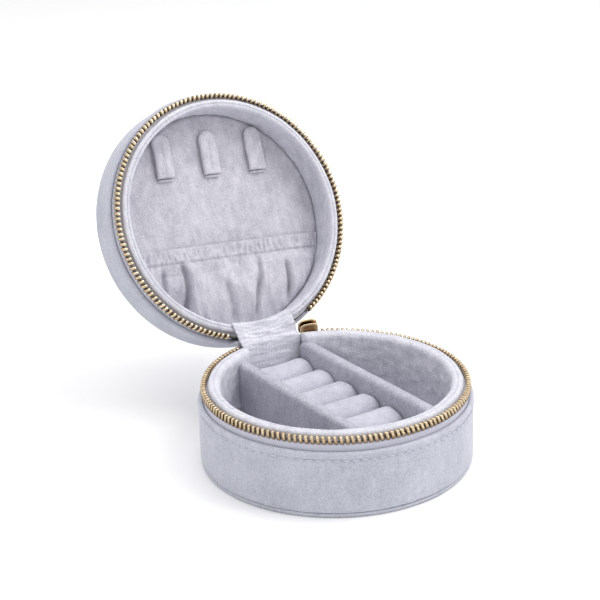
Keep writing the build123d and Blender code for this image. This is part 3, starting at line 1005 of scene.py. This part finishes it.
def pocket_grid(columns, rows, depth_back, y_limit=None):
    """The pocket's face, moved depth_back towards the panel and cut off at y_limit.

    With it come the depths of its deep folds, its ruffles and its stitch line.
    """
    across = np.linspace(-1, 1, columns)[:, None]
    down = np.linspace(0, 1, rows)[None]
    x = pocket_half * across * (1 - 0.035 * down)
    edge_y = np.sqrt(np.clip(pocket_radius**2 - x**2, 0, None)) + 0 * down
    last_y = edge_y if y_limit is None else np.minimum(edge_y, y_limit)
    y = pocket_mouth + (last_y - pocket_mouth) * down
    from_mouth = y - pocket_mouth
    room = np.sqrt(np.clip(1 - (x**2 + y**2) / pocket_radius**2, 0, None))
    side = np.sqrt(np.clip(1 - across**2, 0, None))
    belly = np.sin(np.clip(from_mouth / 37, 0, 1) * pi) ** 1.5
    fill = mouth_rise + (pocket_rise - mouth_rise) * belly
    rise = fill * np.clip(room * 1.7, 0, 1) ** 0.75 * side**0.4
    warp = 2.2 * uneven(np.stack([x, y, 0 * x], -1), 22.0, 141)
    plane = np.stack([x + warp * 0.8, y * 0.16, 0 * x], -1)
    below = np.clip((from_mouth - pocket_casing) / 5, 0, 1)
    folds = 1.25 * uneven(plane, 9.0, 142) + 0.6 * uneven(plane * [1, 2, 1], 4.5, 144)
    gathered = 0.6 + 0.5 * uneven(plane * [1, 0, 1], 14.0, 145)
    ruffle = 0.30 * gathered * np.cos(2 * pi * (x + 1.2 * warp) / 2.7)
    ruffle = ruffle + 0.24 * uneven(plane * [1, 3, 1], 1.9, 143)
    in_casing = bell(from_mouth - 3.9, 3.2)
    short_gathers = 0.32 * gathered * np.cos(2 * pi * (x + 1.4 * warp) / 3.7)
    short_gathers = short_gathers + 0.2 * uneven(plane * [1, 3, 1], 2.4, 146)
    past_stitches = from_mouth - pocket_casing
    under_stitches = np.clip(past_stitches / 1.5, 0, 1) * np.exp(-past_stitches / 6.0)
    pleats = 0.5 * np.cos(2 * pi * (x + warp) / 4.3) * bell(edge_y - y, 6)
    deep = np.zeros_like(x)
    for fold_x, lean, from_y, to_y, width, depth in deep_folds:
        centre_line = fold_x + lean * (y - 20) + 0.9 * np.sin((y - fold_x) / 6)
        reach = np.clip((y - from_y) / 4, 0, 1) * np.clip((to_y - y) / 5, 0, 1)
        valley = bell(x - centre_line, width)
        ridge = bell(x - centre_line - 2.2 * width, 1.4 * width)
        deep += depth * reach * (valley - 0.55 * ridge)
    stitch_line = 0.45 * bell(from_mouth - pocket_casing, 0.6)
    relief = 1.35 * ruffle * in_casing + short_gathers * under_stitches
    relief = relief + 0.9 * below * folds + pleats
    standing = np.clip(rise / 2.5, 0, 1)
    shape = rise + standing * (relief - deep - stitch_line)
    z = panel_face - 0.15 - np.maximum(shape, 0.75 + 0 * shape) + depth_back
    grid = np.stack([x + 0 * z, y + 0 * z, z], -1)
    return grid, deep * standing, ruffle * in_casing, stitch_line


def two_sided(front, thickness):
    """Closes a grid into a sheet: its front, then back again behind it."""
    back_face = front.copy()
    back_face[..., 2] += thickness
    return np.concatenate([front, back_face[:, ::-1]], 1)


front, deep, ruffle, stitch_line = pocket_grid(300, 110, 0.0)
# Painted shade in the deep folds, in the ruffles' hollows and along the stitch line
pocket_painted_shade = np.clip(0.22 * deep + 0.25 * np.clip(-ruffle, 0, 1) + 0.35 * stitch_line, 0, 0.8)
pocket_painted_shade = np.concatenate([pocket_painted_shade, 0 * pocket_painted_shade], 1)
pocket = skin(
    "pocket_front_velvet",
    set_in_lid(two_sided(front, pocket_thickness)),
    panel_velvet,
    "lid",
    ["pocket_front"],
    around=False,
    painted_light=pocket_painted_shade,
)

elastic_grid = pocket_grid(240, 12, elastic_behind, pocket_mouth + elastic_width)[0]
elastic_finish = Finish("woven_elastic", "elastic", Specular_IOR_Level=0.2, Roughness=0.8)
rubber = elastic_finish.noise(0.8, 2.0)
elastic_colour = elastic_finish.mix(rubber, (0.62, 0.62, 0.64, 1), (0.78, 0.78, 0.8, 1))
elastic_finish.feed("Base Color", elastic_colour)
elastic_finish.feed("Normal", elastic_finish.bump(rubber, 0.1))
skin(
    "pocket_elastic_band",
    set_in_lid(two_sided(elastic_grid, elastic_thickness)),
    elastic_finish,
    "lid",
    ["pocket_elastic"],
    around=False,
)
hem_grid = pocket_grid(300, 26, hem_behind, pocket_mouth + pocket_casing)[0]
skin(
    "pocket_hem_velvet",
    set_in_lid(two_sided(hem_grid, hem_thickness)),
    panel_velvet,
    "lid",
    ["pocket_hem"],
    around=False,
)


# ---------------------------------------------------------------- necklace tabs
# Three velvet tabs hang on the panel, each a folded strip with a stiff core, round at its free end.
# Its root is stitched down under a short fold. Necklaces hook over them.
tab_spacing = 22.3
tab_half = 4.05
tab_length = 19.4
tab_root_y = -20.8
tab_low = 46.7
tab_high = 48.9

# The tab's section, from the middle of its back round its edge to the middle of its front: how far
# towards the front, from -1 to 1, and how far in from the edge, as a share of the half width
tab_section = [
    (-1, 1.0),
    (-1, 0.75),
    (-1, 0.5),
    (-1, 0.28),
    (-0.93, 0.14),
    (-0.72, 0.05),
    (-0.35, 0.0),
    (0.0, -0.01),
    (0.35, 0.0),
    (0.72, 0.05),
    (0.95, 0.14),
    (1, 0.28),
    (1, 0.5),
    (1, 0.75),
    (1, 1.0),
]
for place, name in ((-1, "left"), (0, "middle"), (1, "right")):
    end_y = -(tab_length - tab_half)
    turn = np.linspace(0, -pi, 25)
    edge = [(tab_half * cos(t), end_y + tab_half * sin(t)) for t in turn]
    edge = [(tab_half, y) for y in np.linspace(0, end_y, 26)[:-1]] + edge
    edge += [(-tab_half, y) for y in np.linspace(end_y, 0, 26)[1:]]
    edge += [(x, 0.0) for x in np.linspace(-tab_half, tab_half, 18)[1:-1]]
    edge = np.array(edge)
    loops = []
    for height_share, inset in tab_section:
        axis = np.stack([0 * edge[:, 0], np.clip(edge[:, 1], end_y, -tab_half * 0.6)], 1)
        spot = edge + (axis - edge) * inset
        lift = (tab_low + tab_high) / 2 - height_share * (tab_high - tab_low) / 2
        loops.append(np.column_stack([spot, np.full(len(spot), lift)]))
    points = np.stack(loops, 1)
    seed = 151 + place
    along = points[..., 1] / end_y
    soft = 0.12 * uneven(points, 5.0, seed) + 0.05 * uneven(points, 2.0, seed + 5)
    front_side = points[..., 2] < 47.8
    crown = 0.35 * np.clip(1 - (points[..., 0] / tab_half) ** 2, 0, 1)
    padding = 0.25 * np.sin(np.clip(along, 0, 1) * pi) + crown + soft
    points[..., 2] -= np.where(front_side, padding, 0.0)
    points[..., 0] += 0.15 * uneven(points * [0, 1, 0], 7.0, seed + 9)
    points[..., 0] += place * tab_spacing
    points[..., 1] += tab_root_y
    # Each tab's back, against the panel, gets painted shade, and its front a slight painted
    # highlight
    tab = skin(
        f"hook_tab_{name}_velvet",
        set_in_lid(points),
        panel_velvet,
        f"tab_{name}",
        [f"hook_tab_{name}_cover"],
        painted_light=np.clip((points[..., 2] - 47.0) / 1.4, 0, 0.9) - 0.2,
    )

anchor_shapes = []
for place in (-1, 0, 1):
    root = (place * tab_spacing, tab_root_y + 0.75, 48.5)
    anchor_shapes.append(pebble(root, (1.85 * tab_half, 1.1, 1.9), 0.6, 9, 20))
anchor_points, anchor_faces = many(anchor_shapes)
anchor_folds = piece(
    "hook_tab_anchor_folds",
    set_in_lid(anchor_points),
    anchor_faces,
    panel_velvet,
    "lid",
    ["hook_tab_anchors"],
)


# ---------------------------------------------------------------- hinge panels
# Two velvet strips join base and lid. The inner one runs up from the tray between the dividers and
# into the lid, in soft cross wrinkles. The outer one folds behind the zip's ends.


def strip(name, node, corners, thickness, half_width, finish, blend, wrinkle, over):
    """A strip along a line of (y, z) corners, wrinkled across, that runs round the hinge from base
    to lid.

    over is how much of it, from 0 to 1 along its length, has to follow the round of the lid's lip.
    """
    line = outline(corners, spacing=0.35, closed=False)
    slope = np.gradient(line, axis=0)
    slope /= np.linalg.norm(slope, axis=1)[:, None]
    out = np.stack([slope[:, 1], -slope[:, 0]], 1)
    lengths = distances(line)
    x = np.linspace(-half_width, half_width, 72)[:, None]
    follow = over(lengths)
    round_off = follow * (lip_radius - np.sqrt(lip_radius**2 - x**2))
    flat = np.stack([x * 0.22 + 0 * lengths, lengths + 0 * x, 0 * lengths + 0 * x], -1)
    envelope = wrinkle(lengths)
    folds = envelope * (0.55 * uneven(flat, 2.4, 161) + 0.45 * uneven(flat, 1.3, 162))
    faces_out = []
    for offset in (-thickness / 2, thickness / 2):
        y = line[:, 0] + out[:, 0] * (offset + folds) - round_off * cos(open_angle)
        z = line[:, 1] + out[:, 1] * (offset + folds) + round_off * sin(open_angle)
        faces_out.append(np.stack([x * (1 + 0.04 * follow) - 0.4 * follow + 0 * y, y, z], -1))
    grid = np.concatenate([faces_out[0], faces_out[1][:, ::-1]], 1)
    # Painted shade in the wrinkles' valleys, and a slight painted highlight over the rest
    painted_light = np.clip(-folds * 0.8, 0, 0.35) - 0.12
    painted_light = np.concatenate([painted_light, painted_light[:, ::-1]], 1)
    made = skin(name, grid, finish, None, [node], around=False, painted_light=painted_light)
    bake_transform(made)


def lid_point(y, z):
    """Where a point of the shut lid's section stands when the lid is open."""
    opened = open_lid(np.array([0.0, y, z]))
    return float(opened[1]), float(opened[2])


inner_y = 48.94
lip_radius = 49.0
inner_start = (inner_y, 31.2)
inner_end = lid_point(inner_y, 33.5)
strip(
    "hinge_inner_velvet",
    "hinge_inner_panel",
    [
        (inner_y, tray_top, 0),
        (*inner_start, 2.6),
        (*lid_point(49.3, 33.4), 1.5),
        (*lid_point(46.9, 33.9), 1.5),
        (*lid_point(46.95, 38.5), 2.0),
        (*lid_point(47.9, 41.5), 0),
    ],
    thickness=0.8,
    half_width=13.75,
    finish=lining_velvet,
    blend=(inner_start, inner_end),
    wrinkle=lambda lengths: 0.10 + 0.42 * bell(lengths - 30.0, 6.5),
    over=lambda lengths: np.clip((lengths - 25.3) / 8.0, 0, 1) ** 1.5,
)
outer_y = 53.4
outer_finish = lid_point(outer_y, lid_fold - 0.1)
strip(
    "hinge_outer_velvet",
    "hinge_outer_panel",
    [(outer_y, wall_fold + 0.1, 0), (outer_y, parting + 0.4, 0.9), (*outer_finish, 0)],
    thickness=0.7,
    half_width=14.7,
    finish=outer_velvet,
    blend=((outer_y, parting - 1.2), lid_point(outer_y, parting + 1.2)),
    wrinkle=lambda lengths: 0.20 * bell(lengths - 7.2, 2.6),
    over=lambda lengths: 0.0 * lengths,
)


# ---------------------------------------------------------------- zip slider and pull
# A cast gold slider, highly polished, with a plate inside and outside the rows joined by a post.
# Its body is painted dark brown as a painted reflection of dark surroundings, and the plates'
# edges get a painted highlight. A wire bail on the outer plate carries a flat pull with a curled
# eye.
slider_angle = radians(20.477)
slider_half = 4.1
bail_radius = 56.8
bail_half = 2.25
wire_radius = 0.45

slider_gold = Finish("gold_painted_dark_reflection", "zip_brass", Metallic=1.0)
polish = slider_gold.noise(3.0, 3.0)
scratch = slider_gold.noise(0.6, 3.0)
reflection_mottle = slider_gold.steps(polish, 0.3, 0.7)
# The body is painted dark brown, a painted reflection of the dark surroundings, mottled a little
painted_dark_reflection = slider_gold.mix(reflection_mottle, (0.13, 0.065, 0.03, 1), (0.30, 0.17, 0.08, 1))
# Painted highlight: the plates' rounded edges are painted bright gold
painted_edge_highlight = slider_gold.node("ShaderNodeAttribute", {"attribute_name": "painted_light"}, {}, 2)
slider_gold.feed("Base Color", slider_gold.mix(painted_edge_highlight, painted_dark_reflection, (0.86, 0.68, 0.42, 1)))
slider_gold.feed("Roughness", scratch * 0.15 + 0.12)
slider_gold.feed("Normal", slider_gold.bump(scratch, 0.015))


def on_slider(x, y, z):
    """A point beside the case's axis, at x along the zip, y out from the axis and z up."""
    angle = slider_angle + x / tape_middle
    return np.stack([y * np.sin(angle), y * np.cos(angle), z + 0 * angle], -1)


# The plate's section, from its inner face to its outer: how far through its thickness, how large,
# and how much painted highlight it gets
plate_section = [
    (0, 0.05, 0),
    (0, 0.5, 0),
    (0, 0.86, 0.4),
    (0.12, 0.96, 0.9),
    (0.5, 1.0, 0.9),
    (0.88, 0.96, 0.9),
    (1, 0.86, 0.4),
    (1, 0.5, 0),
    (1, 0.05, 0),
]
plate_steps = 48
plate_taper = 0.22


def slider_plate(inside, outside, height):
    """A curved plate, wider at its mouth than at its tail, with rounded edges."""
    turn = np.linspace(0, 2 * pi, plate_steps, endpoint=False)
    shape_x = slider_half * np.sign(np.cos(turn)) * np.abs(np.cos(turn)) ** 0.6
    shape_z = height / 2 * np.sign(np.sin(turn)) * np.abs(np.sin(turn)) ** 0.6
    shape_z = shape_z * (1 - plate_taper * (0.5 - shape_x / slider_half / 2))
    loops = []
    for depth, scale, _ in plate_section:
        y = inside + (outside - inside) * depth
        loops.append(on_slider(shape_x * scale, y + 0 * turn, parting + shape_z * scale))
    return np.stack(loops, 0)


post = pebble((0, 0, 0), (1.6, 3.4, 0.9), 0.4, 7, 14)
slider_shapes = [
    slider_plate(inside=51.15, outside=51.65, height=6.0),
    slider_plate(inside=54.3, outside=55.15, height=7.8),
    on_slider(post[..., 0], tape_middle + post[..., 1], parting + post[..., 2]),
]
# Painted highlight along each plate's rounded edge
plate_painted_highlight = np.repeat([edge_highlight for _, _, edge_highlight in plate_section], plate_steps)
slider_points, slider_faces = many(slider_shapes)
piece(
    "zip_slider_cast",
    slider_points,
    slider_faces,
    slider_gold,
    "slider",
    ["zip_slider_body"],
    painted_light=np.concatenate([plate_painted_highlight, plate_painted_highlight, np.zeros(post[..., 0].size)]),
)


def rod(line, radius, sides=12):
    """A round wire along points."""
    way = np.gradient(line, axis=0)
    way /= np.linalg.norm(way, axis=1)[:, None]
    side = np.cross(way, np.array([0.0, 0.0, 1.0]))
    side /= np.linalg.norm(side, axis=1)[:, None]
    over = np.cross(way, side)
    turn = np.linspace(0, 2 * pi, sides, endpoint=False)
    around = side[:, None] * np.cos(turn)[:, None] + over[:, None] * np.sin(turn)[:, None]
    return line[:, None] + radius * around


arch = outline(
    [
        (-bail_half, 54.7, 0),
        (-bail_half, bail_radius, 0.9),
        (bail_half, bail_radius, 0.9),
        (bail_half, 54.7, 0),
    ],
    spacing=0.25,
    closed=False,
)
bail_line = on_slider(arch[:, 0], arch[:, 1], parting + 0 * arch[:, 0])
bail_points, bail_faces = many([rod(bail_line, wire_radius)])
piece("zip_slider_bail_wire", bail_points, bail_faces, slider_gold, "slider", ["zip_slider_bail"])

pull_drop = 17.0
eye_in = 0.7
eye_out = 1.3
tag_thickness = 1.15
tag = outline(
    [
        (-1.35, -0.9, 0),
        (1.35, -0.9, 0),
        (1.35, -3.8, 0.8),
        (2.5, -5.2, 1.0),
        (2.5, -pull_drop, 2.3),
        (-2.5, -pull_drop, 2.3),
        (-2.5, -5.2, 1.0),
        (-1.35, -3.8, 0.8),
    ],
    spacing=0.4,
)
tag_middle = np.array([0.0, -9.0])
tag_loops = []
for depth, scale, _ in plate_section:
    spot = tag_middle + (tag - tag_middle) * [scale, 1 - (1 - scale) * 0.9]
    y = bail_radius + tag_thickness * (depth - 0.5) + 0 * spot[:, 0]
    tag_loops.append(on_slider(spot[:, 0], y, parting + spot[:, 1]))


def curl(radius):
    """A short tube round the bail, as rings across its width."""
    turn = np.linspace(0, 2 * pi, 33)[:-1]
    y, z = bail_radius + radius * np.sin(turn), parting + radius * np.cos(turn)
    return np.stack([on_slider(x + 0 * turn, y, z) for x in np.linspace(-1.4, 1.4, 7)])


eye_grid = np.concatenate([curl(eye_out), curl(eye_in)[::-1]])
tag_points, tag_faces = many([np.stack(tag_loops)])
rows, columns = eye_grid.shape[:2]
corner = len(tag_points) + np.arange(rows * columns).reshape(rows, columns)
ahead_row, ahead_column = np.roll(corner, -1, 0), np.roll(corner, -1, 1)
eye_faces = np.stack([corner, ahead_row, np.roll(ahead_row, -1, 1), ahead_column], -1)
eye_faces = eye_faces.reshape(-1, 4).tolist()
piece(
    "zip_pull_tag",
    np.concatenate([tag_points, eye_grid.reshape(-1, 3)]),
    tag_faces + eye_faces,
    slider_gold,
    "pull",
    ["zip_pull"],
)


# ---------------------------------------------------------------- boards and foam
# Grey board stiffens the walls, floor, dividers, tray, lid and tabs, with pale foam between them
# and the velvet. They keep their own shapes and get their own finishes.
board = Finish("grey_board", Specular_IOR_Level=0.2, Roughness=0.9)
pulp = board.noise(1.2, 4.0)
board.feed("Base Color", board.mix(pulp, (0.30, 0.285, 0.26, 1), (0.42, 0.40, 0.37, 1)))
board.feed("Normal", board.bump(pulp, 0.08))
foam = Finish("pale_foam", Specular_IOR_Level=0.1, Roughness=0.95)
cells = foam.noise(0.7, 2.0)
foam.feed("Base Color", foam.mix(cells, (0.74, 0.73, 0.69, 1), (0.86, 0.85, 0.82, 1)))
foam.feed("Normal", foam.bump(cells, 0.2))
for name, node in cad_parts.items():
    if node.hide_render:
        continue
    finish = foam.material if "foam" in name or "padding" in name else board.material
    for place in node.material_slots:
        place.material = finish
